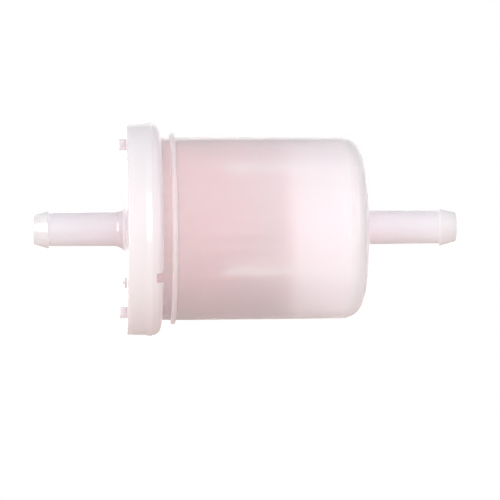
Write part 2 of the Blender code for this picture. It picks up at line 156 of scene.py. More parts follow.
def ring_at(bm, x, radius, around, wobble=None):
    """A ring of vertices about X. wobble(x, radius, turn) may shift each one along X."""
    ring = []
    for step in range(around):
        turn = 2 * math.pi * step / around
        shift = wobble(x, radius, turn) if wobble else 0.0
        ring.append(bm.verts.new((x + shift, radius * math.cos(turn), radius * math.sin(turn))))
    return ring


def bridge(bm, lower, upper, side=OUTSIDE, gaps=()):
    """Faces between two rings, apart from the gaps. A ring may be one vertex repeated."""
    count = len(lower)
    for step in range(count):
        if step in gaps:
            continue
        after = (step + 1) % count
        square = [lower[step], lower[after], upper[after], upper[step]]
        kept = [vert for index, vert in enumerate(square) if vert not in square[:index]]
        if len(kept) > 2:
            bm.faces.new(kept).material_index = side


def lathe(name, corners, materials, around=AROUND, longest=1.5 * MM, steps=5, wobble=None):
    """Turn a rounded outline about X."""
    points = split_long(rounded(corners, steps), longest)
    bm = bmesh.new()
    rings = []
    for x, radius, _ in points:
        if radius < TINY:
            rings.append([bm.verts.new((x, 0.0, 0.0))] * around)
        else:
            rings.append(ring_at(bm, x, radius, around, wobble))
    for index, (_, _, side) in enumerate(points):
        bridge(bm, rings[index], rings[(index + 1) % len(rings)], side)
    return smooth_piece(bm, name, materials)


def extruded(outline, push):
    """A closed bmesh between a flat outline of points and its copy, moved by push."""
    bm = bmesh.new()
    face = bm.faces.new([bm.verts.new(point) for point in outline])
    raised = bmesh.ops.extrude_face_region(bm, geom=[face])["geom"]
    moved = [item for item in raised if isinstance(item, bmesh.types.BMVert)]
    bmesh.ops.translate(bm, verts=moved, vec=push)
    return bm


def round_edges(bm, edges, radius, segments=4):
    bmesh.ops.bevel(
        bm, geom=edges, offset=radius, segments=segments, profile=0.5, affect="EDGES"
    )


def tool_from(bm, name, side):
    """Make a closed bmesh into an object for a Boolean, with its faces on one material side."""
    bmesh.ops.recalc_face_normals(bm, faces=bm.faces[:])
    for face in bm.faces:
        face.material_index = side
        face.smooth = True
    tool = bpy.data.objects.new(name, mesh_from(bm, name))
    bpy.context.scene.collection.objects.link(tool)
    return tool


def apply_modifiers(piece, tools=()):
    """Apply the piece's modifiers and a Boolean for each (operation, tool) pair.

    The tools are removed. Points closer together than SLIVER are merged, because a Boolean can
    leave slivers.
    """
    for operation, tool in tools:
        for one in piece.data.materials:
            tool.data.materials.append(one)
        cut = piece.modifiers.new(operation, "BOOLEAN")
        cut.operation = operation
        cut.solver = "EXACT"
        cut.object = tool
    layer = bpy.context.evaluated_depsgraph_get()
    mesh = bpy.data.meshes.new_from_object(piece.evaluated_get(layer))
    piece.modifiers.clear()
    piece.data = mesh
    for _, tool in tools:
        bpy.data.objects.remove(tool, do_unlink=True)
    bm = bmesh.new()
    bm.from_mesh(mesh)
    bmesh.ops.remove_doubles(bm, verts=bm.verts[:], dist=SLIVER)
    bm.to_mesh(mesh)
    bm.free()
    mesh.shade_smooth()
    mesh.set_sharp_from_angle(angle=SHARP_ANGLE)


def block(name, low, high, radius):
    """A box with rounded edges."""
    size = [high[i] - low[i] for i in range(3)]
    middle = [(high[i] + low[i]) / 2 for i in range(3)]
    bm = bmesh.new()
    pose = Matrix.Translation(middle) @ Matrix.Diagonal((*size, 1.0))
    bmesh.ops.create_cube(bm, size=1.0, matrix=pose)
    round_edges(bm, bm.edges[:], radius)
    # painted shade: the box takes the nipple side's darker copy of the plastic
    return tool_from(bm, name, NIPPLE)


def post(name, low_x, high_x, radius, edge, z):
    """A round post along X, with its edges rounded."""
    bm = bmesh.new()
    middle = Matrix.Translation(((low_x + high_x) / 2, 0.0, z))
    bmesh.ops.create_cone(
        bm,
        cap_ends=True,
        segments=40,
        radius1=radius,
        radius2=radius,
        depth=high_x - low_x,
        matrix=middle @ Matrix.Rotation(math.pi / 2, 4, "Y"),
    )
    rims = [rim for rim in bm.edges if abs(rim.verts[0].co.x - rim.verts[1].co.x) < TINY]
    round_edges(bm, rims, edge, segments=3)
    # painted shade: the post takes the nipple side's darker copy of the plastic
    return tool_from(bm, name, NIPPLE)


# ---------------------------------------------------------------- places and sizes

def span(node):
    """A node's (low x, high x, outer radius)."""
    low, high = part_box(node)
    return low[0], high[0], (high[2] - low[2]) / 2


def stand_in(piece, node):
    """Let a piece take a CAD node's place."""
    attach(piece, "root")
    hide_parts(node)


# Hose nipples
BORE = 1.75 * MM
SHANK_TIP = 3.19 * MM
SHANK_ROOT = 3.28 * MM
BARB = 3.62 * MM
BARB_TIP = 2.80 * MM
BARB_LAND = 0.20 * MM
BARB_STEP = 0.35 * MM
BOWL_CONE = 3.0 * MM
CAP_CONE = 2.65 * MM

# Cap, with its skirt, the lugs and the gate pip on its face, and the spigot inside
CAP_FACE = -22.6 * MM
CAP_FLOOR = -21.0 * MM
CAP_END = -16.0 * MM
CAP_RADIUS = 20.20 * MM
CAP_RIM = 20.07 * MM
SKIRT_BORE = 17.75 * MM
SKIRT_ROUND = 1.8 * MM
PARTING_X = -18.15 * MM
PARTING_RISE = 0.16 * MM
NOTCH_Y = -21.5 * MM
NOTCH_DEPTH = 8.0 * MM
NOTCH_Z = -9.3 * MM
LUG_PLACE = 15.8 * MM
LUG_LENGTH = 4.5 * MM
LUG_WIDTH = 2.15 * MM
LUG_HEIGHT = 1.3 * MM
LUG_EDGE = 0.15 * MM
PIP_Z = -10.2 * MM
PIP_RADIUS = 1.0 * MM
PIP_HEIGHT = 0.3 * MM
NUB_RADIUS = 0.25 * MM
NUB_HEIGHT = 0.25 * MM
SPIGOT = 4.0 * MM
SPIGOT_END = -13.0 * MM
GROOVE = 3.15 * MM
HALF_GROOVE = 1.0 * MM
SEAL_X = -16.5 * MM
SEAL_FLASH = 0.04 * MM
SEAL_STEPS = 24

# Bowl, with its welding flange
BOWL_NECK = 17.34 * MM
BOWL_RADIUS = 17.40 * MM
BOWL_END_RADIUS = 17.32 * MM
BOWL_END = 22.52 * MM
BOWL_CORNER = 4.5 * MM
BOWL_INNER_CORNER = 3.2 * MM
BOWL_WALL = 1.5 * MM
FLANGE = 18.08 * MM
FLANGE_START = -14.30 * MM
FLANGE_END = -13.40 * MM

# Ribs on the bowl's inside; RIB_FIRST is how far the first is turned up from the front
RIB_TIP = 14.2 * MM
RIB_START = -4.9 * MM
RIB_WIDTH = 1.7 * MM
RIB_EDGE = 0.2 * MM
RIB_SINK = 0.35 * MM
RIB_END_STEP = 0.7 * MM
RIB_END_SLOPE = 1.2 * MM
RIB_COUNT = 5
RIB_FIRST = math.radians(42.6)

# Weld bead
BEAD_WIDTH = 1.0 * MM
BEAD_WAVE = 0.04 * MM

# End discs and the glue on them
COLLAR_BORE = 5.2 * MM
COLLAR_RADIUS = 6.2 * MM
OUTLET_PLATE = 1.2 * MM
LIP_HEIGHT = 2.5 * MM
LIP_WIDTH = 0.8 * MM
DISH_DEPTH = 0.4 * MM
DISH_INSET = 1.5 * MM
GLUE_CLEARANCE = 0.3 * MM
GLUE_HOLLOW = 0.18 * MM
GLUE_SLOW_WAVE = 0.05 * MM
GLUE_FAST_WAVE = 0.03 * MM

# Core tube, in columns and rows of windows
CORE_RADIUS = 7.8 * MM
CORE_WALL = 0.9 * MM
CORE_EDGE = 0.12 * MM
CORE_COLUMNS = 8
CORE_ROWS = 5
CORE_COLUMN_STEPS = 15
CORE_WINDOW_STEPS = 9
CORE_WINDOW_ROWS = 3
CORE_BAND = 1.6 * MM

# Pleated sheet, and the seam of glue between its two ends
MEDIA_INNER = 8.3 * MM
SHEET = 0.45 * MM
PLEATS = 32
INNER_FOLD = 0.28 * MM
OUTER_FOLD = 0.34 * MM
FOLD_LEAN = 0.008
FOLD_SLACK = 0.12 * MM
FOLD_STEPS = 8
FLANK_STEPS = 5
SHEET_STATIONS = 12
SHEET_LEAN = 0.004
SEAM_ANGLE = math.radians(60.0)
SEAM_MIDDLE = 11.5 * MM
SEAM_WIDTH = 3.6 * MM
SEAM_THICKNESS = 0.5 * MM
SEAM_GAP = 0.3 * MM
SEAM_SWELL = 0.12 * MM
SEAM_STATIONS = 40
SEAM_STEPS = 20

# Floor: a disc that is solid out to FLOOR_SOLID, then fades out; its glow is the light that it
# gives, and its seen glow is how it looks
FLOOR_Z = -0.14
FLOOR_RADIUS = 1.05
FLOOR_SOLID = 0.80
FLOOR_GLOW = 0.26
FLOOR_SEEN_GLOW = 0.46


# ---------------------------------------------------------------- materials

def new_material(name):
    made = bpy.data.materials.new(name)
    made.use_nodes = True
    return made, made.node_tree, made.node_tree.nodes["Principled BSDF"]


def coordinates(tree, stretch=(1.0, 1.0, 1.0)):
    """Object coordinates in millimetres, stretched per axis."""
    source = tree.nodes.new("ShaderNodeTexCoord")
    scale = tree.nodes.new("ShaderNodeVectorMath")
    scale.operation = "MULTIPLY"
    scale.inputs[1].default_value = tuple(one / MM for one in stretch)
    tree.links.new(source.outputs["Object"], scale.inputs[0])
    return scale.outputs["Vector"]


def noise(tree, vector, scale, detail=3.0, rough=0.5):
    node = tree.nodes.new("ShaderNodeTexNoise")
    node.inputs["Scale"].default_value = scale
    node.inputs["Detail"].default_value = detail
    node.inputs["Roughness"].default_value = rough
    tree.links.new(vector, node.inputs["Vector"])
    return node.outputs["Fac"]


def specks(tree, vector, scale, low, high):
    """1 inside small round spots, fading to 0 around them."""
    cells = tree.nodes.new("ShaderNodeTexVoronoi")
    cells.inputs["Scale"].default_value = scale
    tree.links.new(vector, cells.inputs["Vector"])
    return remap(tree, cells.outputs["Distance"], low, high, 1.0, 0.0)


def remap(tree, value, from_low, from_high, to_low, to_high):
    node = tree.nodes.new("ShaderNodeMapRange")
    node.inputs["From Min"].default_value = from_low
    node.inputs["From Max"].default_value = from_high
    node.inputs["To Min"].default_value = to_low
    node.inputs["To Max"].default_value = to_high
    tree.links.new(value, node.inputs["Value"])
    return node.outputs["Result"]


def blend(tree, factor, first, second):
    """Colour between two colours; either may be a socket."""
    node = tree.nodes.new("ShaderNodeMix")
    node.data_type = "RGBA"
    tree.links.new(factor, node.inputs["Factor"])
    for socket, colour in ((node.inputs[6], first), (node.inputs[7], second)):
        if isinstance(colour, tuple):
            socket.default_value = (*colour, 1.0)
        else:
            tree.links.new(colour, socket)
    return node.outputs[2]


def bump(tree, shader, heights):
    """Chain bumps from (height socket, depth in metres) pairs into the shader's normal."""
    last = None
    for height, depth in heights:
        node = tree.nodes.new("ShaderNodeBump")
        node.inputs["Strength"].default_value = 1.0
        node.inputs["Distance"].default_value = depth
        tree.links.new(height, node.inputs["Height"])
        if last:
            tree.links.new(last, node.inputs["Normal"])
        last = node.outputs["Normal"]
    tree.links.new(last, shader.inputs["Normal"])


def vary_roughness(tree, shader, pattern, low, high):
    """Spread the roughness from low to high over a noise pattern's usual range."""
    tree.links.new(remap(tree, pattern, 0.3, 0.7, low, high), shader.inputs["Roughness"])


def along_x(tree):
    """Place along X, in millimetres."""
    parts = tree.nodes.new("ShaderNodeSeparateXYZ")
    tree.links.new(coordinates(tree), parts.inputs["Vector"])
    return parts.outputs["X"]


def distance_along(tree):
    """Distance along X from the filter's middle, in millimetres."""
    size = tree.nodes.new("ShaderNodeMath")
    size.operation = "ABSOLUTE"
    tree.links.new(along_x(tree), size.inputs[0])
    return size.outputs["Value"]


def milky(name, roughness, transmission, colour, scatter, painted_light_and_shade=(), coat=0.0):
    """Milky moulded plastic: light scatters inside the wall, and some passes straight through.

    The colour clouds slightly along the wall, where the melt flowed, and the roughness varies a
    little with fine waves from the mould. Each change is (start, end, colour): the colour turns
    into another between two distances along X from the filter's middle, in millimetres. The
    changes are painted light and shade: they make stretches of a piece lighter and darker.
    """
    made, tree, shader = new_material(name)
    along = coordinates(tree, (0.35, 1.0, 1.0))
    cloudy = tuple(min(1.0, one * shade) for one, shade in zip(colour, CLOUD_SHADE))
    base = blend(tree, noise(tree, along, 0.22), colour, cloudy)
    # painted light and shade: each change blends the colour towards a lighter or darker one along
    # X
    for start, end, other in painted_light_and_shade:
        share = remap(tree, distance_along(tree), start, end, 0.0, 1.0)
        base = blend(tree, share, base, other)
    tree.links.new(base, shader.inputs["Base Color"])
    grain = noise(tree, coordinates(tree), 2.2, 4.0)
    vary_roughness(tree, shader, grain, roughness * 0.85, min(1.0, roughness * 1.15))
    shader.inputs["IOR"].default_value = 1.5
    shader.inputs["Transmission Weight"].default_value = transmission
    shader.inputs["Subsurface Weight"].default_value = 1.0
    shader.inputs["Subsurface Radius"].default_value = (1.0, 1.0, 1.0)
    shader.inputs["Subsurface Scale"].default_value = scatter
    shader.inputs["Coat Weight"].default_value = coat
    shader.inputs["Coat Roughness"].default_value = 0.02
    waves = noise(tree, along, 0.15, 1.0)
    bump(tree, shader, [(waves, 0.004 * MM), (grain, 0.0004 * MM)])
    return made


def moulded(name, colour, darker):
    """Opaque moulded plastic with flow streaks along X and a fine grain."""
    made, tree, shader = new_material(name)
    streaks = noise(tree, coordinates(tree, (0.25, 1.0, 1.0)), 0.5)
    tree.links.new(blend(tree, streaks, darker, colour), shader.inputs["Base Color"])
    grain = noise(tree, coordinates(tree), 5.0, 4.0)
    vary_roughness(tree, shader, grain, 0.37, 0.53)
    bump(tree, shader, [(grain, 0.012 * MM)])
    return made


def glue(name, colour, darker):
    """Set potting glue: a glossy surface with slow waves and small bubbles."""
    made, tree, shader = new_material(name)
    spots = coordinates(tree)
    waves = noise(tree, spots, 0.7, 2.0)
    tree.links.new(blend(tree, waves, darker, colour), shader.inputs["Base Color"])
    vary_roughness(tree, shader, waves, 0.22, 0.38)
    bubbles = specks(tree, spots, 0.9, 0.08, 0.16)
    bump(tree, shader, [(waves, 0.12 * MM), (bubbles, 0.04 * MM)])
    return made


def paper(name, colour, darker, closed_end, outlet_end):
    """Resin-treated filter paper: matt, fibrous and slightly translucent. Painted light makes it
    paler towards +X, beside the bright empty chamber, and painted shade makes it darker and more
    orange towards -X, next to the cap.
    """
    made, tree, shader = new_material(name)
    fibres = noise(tree, coordinates(tree, (0.5, 2.0, 2.0)), 2.4, 6.0, 0.65)
    patches = noise(tree, coordinates(tree), 0.3, 2.0)
    x = along_x(tree)
    base = blend(tree, patches, darker, colour)
    # painted shade: darker and more orange towards the cap, at -X
    base = blend(tree, remap(tree, x, -19.0, -6.0, 0.8, 0.0), base, outlet_end)
    # painted light: paler towards the closed end, at +X, beside the bright empty chamber
    base = blend(tree, remap(tree, x, -5.0, 7.5, 0.0, 1.0), base, closed_end)
    pale = tuple(0.6 + 0.4 * one for one in colour)
    strands = remap(tree, fibres, 0.45, 0.75, 0.0, 0.25)
    tree.links.new(blend(tree, strands, base, pale), shader.inputs["Base Color"])
    vary_roughness(tree, shader, fibres, 0.8, 0.98)
    shader.inputs["Subsurface Weight"].default_value = 1.0
    shader.inputs["Subsurface Radius"].default_value = (1.0, 0.8, 0.8)
    shader.inputs["Subsurface Scale"].default_value = 2.5 * MM
    shader.inputs["Sheen Weight"].default_value = 0.2
    bump(tree, shader, [(fibres, 0.05 * MM)])
    return made


def rubber(name, colour, dusty):
    """Black rubber with a dull bloom and a fine texture."""
    made, tree, shader = new_material(name)
    spots = coordinates(tree)
    bloom = noise(tree, spots, 0.8, 4.0)
    dust = remap(tree, bloom, 0.45, 0.75, 0.0, 1.0)
    tree.links.new(blend(tree, dust, colour, dusty), shader.inputs["Base Color"])
    vary_roughness(tree, shader, bloom, 0.45, 0.75)
    bump(tree, shader, [(noise(tree, spots, 6.0, 3.0), 0.015 * MM)])
    return made


def floor_paint(name, colour, darker):
    """Pale matt paint with faint roller texture. It fades out towards the floor's rim."""
    made, tree, shader = new_material(name)
    spots = coordinates(tree)
    cloud = noise(tree, spots, 0.01)
    tree.links.new(blend(tree, cloud, darker, colour), shader.inputs["Base Color"])
    stipple = noise(tree, spots, 0.4, 3.0)
    vary_roughness(tree, shader, stipple, 0.7, 0.9)
    bump(tree, shader, [(stipple, 0.05 * MM)])
    reach = tree.nodes.new("ShaderNodeVectorMath")
    reach.operation = "LENGTH"
    tree.links.new(spots, reach.inputs[0])
    solid = remap(tree, reach.outputs["Value"], FLOOR_SOLID / MM, FLOOR_RADIUS / MM, 1.0, 0.0)
    tree.links.new(solid, shader.inputs["Alpha"])
    path = tree.nodes.new("ShaderNodeLightPath")
    glow = remap(tree, path.outputs["Is Camera Ray"], 0.0, 1.0, FLOOR_GLOW, FLOOR_SEEN_GLOW)
    tree.links.new(glow, shader.inputs["Emission Strength"])
    shader.inputs["Emission Color"].default_value = (1.0, 0.85, 0.79, 1.0)
    return made


CLOUD_SHADE = (1.005, 0.985, 0.99)
WALL = {
    "transmission": 0.57,
    "colour": (0.952, 0.908, 0.941),
    "scatter": 5.0 * MM,
    # painted light: the bowl's wall turns paler and whiter from 16.5 to 22 mm out, over its
    # rounded end, where light from behind shines through
    "painted_light_and_shade": [(16.5, 22.0, (0.965, 0.95, 0.975))],
}
POLISHED = milky("milky_polished", roughness=0.10, **WALL)
FROSTED = milky("milky_frosted", roughness=0.85, **WALL)
# painted shade: a darker copy of the cap's plastic for the nipples, darkest at their roots and
# paler towards the tips
SHADED_NIPPLE_PLASTIC = milky(
    "milky_nipple_painted_shade",
    roughness=0.06,
    transmission=0.0,
    colour=(0.785, 0.705, 0.755),
    scatter=5.0 * MM,
    painted_light_and_shade=[(24.0, 38.0, (0.905, 0.865, 0.95))],
    coat=1.0,
)
RIB_PLASTIC = milky("milky_rib", 0.6, 0.20, (0.97, 0.91, 0.92), 3.0 * MM)
FLANGE_PLASTIC = milky("milky_flange", 0.35, 0.30, (0.97, 0.865, 0.89), 3.0 * MM)
# painted shade: the cap turns pinker and darker from 19.2 to 16.6 mm out, over the skirt's rounded
# end
SKIRT_PAINTED_SHADE = (19.2, 16.6, (0.985, 0.85, 0.89))
# painted shade: the cap's face and its rim are darker, from 21.9 mm out
FACE_PAINTED_SHADE = (21.9, 22.5, (0.93, 0.84, 0.89))
CAP_OUT = milky(
    "milky_cap",
    roughness=0.10,
    transmission=0.0,
    colour=(0.99, 0.895, 0.945),
    scatter=1.5 * MM,
    painted_light_and_shade=[SKIRT_PAINTED_SHADE, FACE_PAINTED_SHADE],
)
CAP_IN = milky("milky_cap_inside", 0.5, 0.0, (0.985, 0.875, 0.915), 1.5 * MM)
BOWL_MATERIALS = [POLISHED, FROSTED, SHADED_NIPPLE_PLASTIC, RIB_PLASTIC, FLANGE_PLASTIC]
CAP_MATERIALS = [CAP_OUT, CAP_IN, SHADED_NIPPLE_PLASTIC]
PAPER = paper(
    "pink_paper",
    colour=(0.97, 0.345, 0.385),
    darker=(0.92, 0.295, 0.33),
    # closed_end is painted light and outlet_end is painted shade
    closed_end=(0.955, 0.60, 0.645),
    outlet_end=(0.90, 0.28, 0.26),
)
SALMON = moulded("salmon_plastic", (0.90, 0.44, 0.31), (0.85, 0.38, 0.26))
ROSE = moulded("rose_plastic", (0.95, 0.80, 0.82), (0.92, 0.75, 0.77))
GLUE = glue("pink_glue", (0.94, 0.66, 0.67), (0.90, 0.58, 0.59))
WHITE = moulded("white_plastic", (0.88, 0.87, 0.85), (0.83, 0.81, 0.78))
RUBBER = rubber("black_rubber", (0.025, 0.025, 0.027), (0.08, 0.075, 0.07))
FLOOR = floor_paint("floor_paint", (0.90, 0.75, 0.69), (0.86, 0.71, 0.65))


# ---------------------------------------------------------------- housing

def hose_nipple(tip, inward, cone, rim, heel):
    """Corners of a nipple, from the mouth of its bore to its shank.

    inward is the sign of X towards the filter's middle, cone the length of the barb's cone, and
    rim and heel are the roundings at the two ends of the barb's short straight stretch.
    """
    barb = tip + inward * cone
    return [
        (tip, BORE, 0.15 * MM, NIPPLE),
        (tip, BARB_TIP, 0.25 * MM, NIPPLE),
        (barb, BARB, rim, NIPPLE),
        (barb + inward * BARB_LAND, BARB, heel, NIPPLE),
        (barb + inward * BARB_STEP, SHANK_TIP, 0.12 * MM, NIPPLE),
    ]


def rib_tool(index):
    """A rib on the bowl's inside, whose end goes into the bowl's rounded corner."""
    wall = BOWL_RADIUS - BOWL_WALL + RIB_SINK
    end = BOWL_END - BOWL_WALL - RIB_SINK
    side = [
        (RIB_START, wall),
        (RIB_START, RIB_TIP),
        (end, RIB_TIP),
        (end, RIB_TIP + RIB_END_STEP),
        (end - RIB_END_SLOPE, wall),
    ]
    outline = [(x, -radius, -RIB_WIDTH / 2) for x, radius in side]
    bm = extruded(outline, (0.0, 0.0, RIB_WIDTH))
    tips = [edge for edge in bm.edges if all(abs(v.co.y + RIB_TIP) < TINY for v in edge.verts)]
    round_edges(bm, tips, RIB_EDGE)
    lift = RIB_FIRST + index * 2 * math.pi / RIB_COUNT
    bmesh.ops.transform(bm, matrix=Matrix.Rotation(-lift, 4, "X"), verts=bm.verts[:])
    return tool_from(bm, f"rib_{index}", RIB)


def build_bowl():
    low_x, tip, _ = span("bowl")
    inner_end = BOWL_END - BOWL_WALL
    corners = hose_nipple(tip, -1, BOWL_CONE, 0.10 * MM, 0.06 * MM)
    corners += [
        (BOWL_END, SHANK_ROOT, 0.6 * MM, OUTSIDE),
        (BOWL_END, BOWL_END_RADIUS, BOWL_CORNER, OUTSIDE),
        (FLANGE_END, BOWL_RADIUS, 0.15 * MM, RING),
        (FLANGE_END, FLANGE, 0.35 * MM, RING),
        (FLANGE_START, FLANGE, 0.35 * MM, RING),
        (FLANGE_START, BOWL_NECK, 0.15 * MM, OUTSIDE),
        (low_x, BOWL_NECK, 0.30 * MM, OUTSIDE),
        (low_x, BOWL_RADIUS - BOWL_WALL, 0.10 * MM, INSIDE),
        (inner_end, BOWL_END_RADIUS - BOWL_WALL, BOWL_INNER_CORNER, INSIDE),
        (inner_end, BORE, 0.5 * MM, NIPPLE),
    ]
    bowl = lathe("bowl_shell", corners, BOWL_MATERIALS, steps=8)
    apply_modifiers(bowl, [("UNION", rib_tool(index)) for index in range(RIB_COUNT)])
    bowl.visible_shadow = False  # the lamps light the element through the wall
    stand_in(bowl, "bowl")


def notch_tool():
    """Cutter for the notch in the skirt's edge, which opens towards -Y and flares upward."""
    from_middle = [
        (-1.3, -0.8),
        (1.0, -0.8),
        (1.0, 2.2),
        (0.0, 1.25),
        (-0.3, 1.02),
        (-0.6, 0.88),
        (-0.95, 0.81),
        (-1.3, 0.8),
    ]
    outline = [(CAP_END + x * MM, NOTCH_Y, NOTCH_Z + z * MM) for x, z in from_middle]
    return tool_from(extruded(outline, (0.0, NOTCH_DEPTH, 0.0)), "notch", OUTSIDE)


def cap_face_tools():
    """The two drive lugs and the gate pip on the cap's face, all rooted inside its wall."""
    root = (CAP_FACE + CAP_FLOOR) / 2
    tools = []
    for side in (1, -1):
        middle = side * LUG_PLACE
        low = (CAP_FACE - LUG_HEIGHT, -LUG_LENGTH / 2, middle - LUG_WIDTH / 2)
        high = (root, LUG_LENGTH / 2, middle + LUG_WIDTH / 2)
        tools.append(block(f"lug_{side}", low, high, LUG_EDGE))
    top = CAP_FACE - PIP_HEIGHT
    tools.append(post("gate_pip", top, root, PIP_RADIUS, 0.08 * MM, PIP_Z))
    tools.append(post("gate_nub", top - NUB_HEIGHT, root, NUB_RADIUS, 0.06 * MM, PIP_Z))
    return [("UNION", tool) for tool in tools]


def build_cap():
    tip = span("cap")[0]
    corners = quarter_round(CAP_END, CAP_RADIUS, SKIRT_ROUND)
    corners += [
        (PARTING_X + 0.25 * MM, CAP_RADIUS + 0.10 * MM, 0.2 * MM, OUTSIDE),
        (PARTING_X, CAP_RADIUS + PARTING_RISE, 0.2 * MM, OUTSIDE),
        (PARTING_X - 1.15 * MM, CAP_RADIUS - 0.04 * MM, 2.5 * MM, OUTSIDE),
        (CAP_FACE, CAP_RIM, 0.40 * MM, OUTSIDE),
        (CAP_FACE, SHANK_ROOT, 2.2 * MM, NIPPLE),
    ]
    corners += reversed(hose_nipple(tip, 1, CAP_CONE, 0.12 * MM, 0.08 * MM))
    corners += [
        (SPIGOT_END, BORE, 0.15 * MM, INSIDE),
        (SPIGOT_END, SPIGOT, 0.35 * MM, INSIDE),
        (SEAL_X + HALF_GROOVE, SPIGOT, 0.1 * MM, INSIDE),
        (SEAL_X + HALF_GROOVE, GROOVE, 0.1 * MM, INSIDE),
        (SEAL_X - HALF_GROOVE, GROOVE, 0.1 * MM, INSIDE),
        (SEAL_X - HALF_GROOVE, SPIGOT, 0.1 * MM, INSIDE),
        (CAP_FLOOR, SPIGOT, 0.5 * MM, INSIDE),
        (CAP_FLOOR, SKIRT_BORE, 0.3 * MM, INSIDE),
        (CAP_END, SKIRT_BORE, 0.2 * MM, OUTSIDE),
    ]
    cap = lathe("cap_shell", corners, CAP_MATERIALS, steps=8)
    apply_modifiers(cap, cap_face_tools() + [("DIFFERENCE", notch_tool())])
    cap.visible_shadow = False  # the lamps light the inside through the wall
    stand_in(cap, "cap")


# ---------------------------------------------------------------- element

def build_weld_bead():
    low_x, high_x, outer = span("weld_bead")
    inner = outer - BEAD_WIDTH

    def squeeze(x, radius, turn):
        return BEAD_WAVE * math.sin(9 * turn + radius / MM) * math.sin(4 * turn)

    corners = [
        (high_x, inner, 0.3 * MM, OUTSIDE),
        (high_x, outer, 0.3 * MM, OUTSIDE),
        (low_x, outer, 0.3 * MM, OUTSIDE),
        (low_x, inner, 0.3 * MM, OUTSIDE),
    ]
    bead = lathe("weld_ring", corners, [CAP_IN], longest=0.4 * MM, wobble=squeeze)
    stand_in(bead, "weld_bead")


def build_outlet_disc():
    low_x, high_x, outer = span("outlet_end_disc")
    plate = low_x + OUTLET_PLATE
    lip_end = plate + LIP_HEIGHT
    lip = outer - LIP_WIDTH
    corners = [
        (lip_end, lip, 0.2 * MM, OUTSIDE),
        (lip_end, outer, 0.25 * MM, OUTSIDE),
        (low_x, outer, 0.35 * MM, OUTSIDE),
        (low_x, COLLAR_BORE, 0.35 * MM, OUTSIDE),
        (high_x, COLLAR_BORE, 0.15 * MM, OUTSIDE),
        (high_x, COLLAR_RADIUS, 0.25 * MM, OUTSIDE),
        (plate, COLLAR_RADIUS, 0.4 * MM, OUTSIDE),
        (plate, lip, 0.4 * MM, OUTSIDE),
    ]
    stand_in(lathe("outlet_disc", corners, [SALMON]), "outlet_end_disc")


def build_closed_disc():
    low_x, high_x, outer = span("closed_end_disc")
    dish = CORE_RADIUS - DISH_INSET
    corners = [
        (high_x - DISH_DEPTH, 0.0, 0.0, OUTSIDE),
        (high_x - DISH_DEPTH, dish - DISH_DEPTH, 0.3 * MM, OUTSIDE),
        (high_x, dish, 0.25 * MM, OUTSIDE),
        (high_x, outer, 0.4 * MM, OUTSIDE),
        (low_x, outer, 0.15 * MM, OUTSIDE),
        (low_x, 0.0, 0.0, OUTSIDE),
    ]
    stand_in(lathe("closed_disc", corners, [ROSE]), "closed_end_disc")


def build_potting(name, node, free_side):
    """A ring of glue, wavy and climbing at its edges on the side that meets the pleats."""
    low_x, high_x, outer = span(node)
    inner = CORE_RADIUS + GLUE_CLEARANCE
    middle = (low_x + high_x) / 2
    half_width = (outer - inner) / 2

    def meniscus(x, radius, turn):
        if (x - middle) * free_side < 0.0:
            return 0.0
        edge = (radius - (inner + outer) / 2) / half_width
        hollow = GLUE_HOLLOW * (1.0 - edge * edge)
        slow = GLUE_SLOW_WAVE * math.sin(7 * turn + 1.3 * radius / MM)
        return free_side * (slow + GLUE_FAST_WAVE * math.sin(19 * turn) - hollow)

    corners = [
        (high_x, inner, 0.15 * MM, OUTSIDE),
        (high_x, outer, 0.25 * MM, OUTSIDE),
        (low_x, outer, 0.25 * MM, OUTSIDE),
        (low_x, inner, 0.15 * MM, OUTSIDE),
    ]
    ring = lathe(name, corners, [GLUE], longest=0.5 * MM, wobble=meniscus)
    stand_in(ring, node)


def spoke(angle):
    """The direction in the (y, z) plane at an angle from +Y."""
    return Vector((math.cos(angle), math.sin(angle)))


def sheet_path(inner, outer, chance):
    """Centreline (y, z) of the pleated sheet, from one side of the seam round to the other."""
    half = SHEET / 2
    flap = outer - half
    flap_turn = (SEAM_THICKNESS / 2 + SEAM_GAP + half) / flap
    points = [spoke(SEAM_ANGLE + flap_turn) * flap]

    def flank_to(target):
        start = points[-1]
        for step in range(1, FLANK_STEPS):
            points.append(start.lerp(target, step / FLANK_STEPS))

    def fold(angle, radius, bend, outward):
        middle = spoke(angle) * radius
        flank_to(middle + Vector((math.sin(angle), -math.cos(angle))) * bend)
        for step in range(FOLD_STEPS + 1):
            swing = math.pi * step / FOLD_STEPS
            turn = angle - math.pi / 2 + (swing if outward else -swing)
            points.append(middle + spoke(turn) * bend)

    pitch = 2 * math.pi / PLEATS
    for pleat in range(PLEATS):
        angle = SEAM_ANGLE + pitch * (pleat + 0.5) + chance.uniform(-FOLD_LEAN, FOLD_LEAN)
        radius = inner + half + INNER_FOLD + chance.uniform(0.0, FOLD_SLACK)
        fold(angle, radius, INNER_FOLD, False)
        if pleat == PLEATS - 1:
            break
        angle = SEAM_ANGLE + pitch * (pleat + 1) + chance.uniform(-FOLD_LEAN, FOLD_LEAN)
        radius = outer - half - OUTER_FOLD - chance.uniform(0.0, FOLD_SLACK)
        fold(angle, radius, OUTER_FOLD, True)
    end = spoke(SEAM_ANGLE - flap_turn) * flap
    flank_to(end)
    points.append(end)
    return points


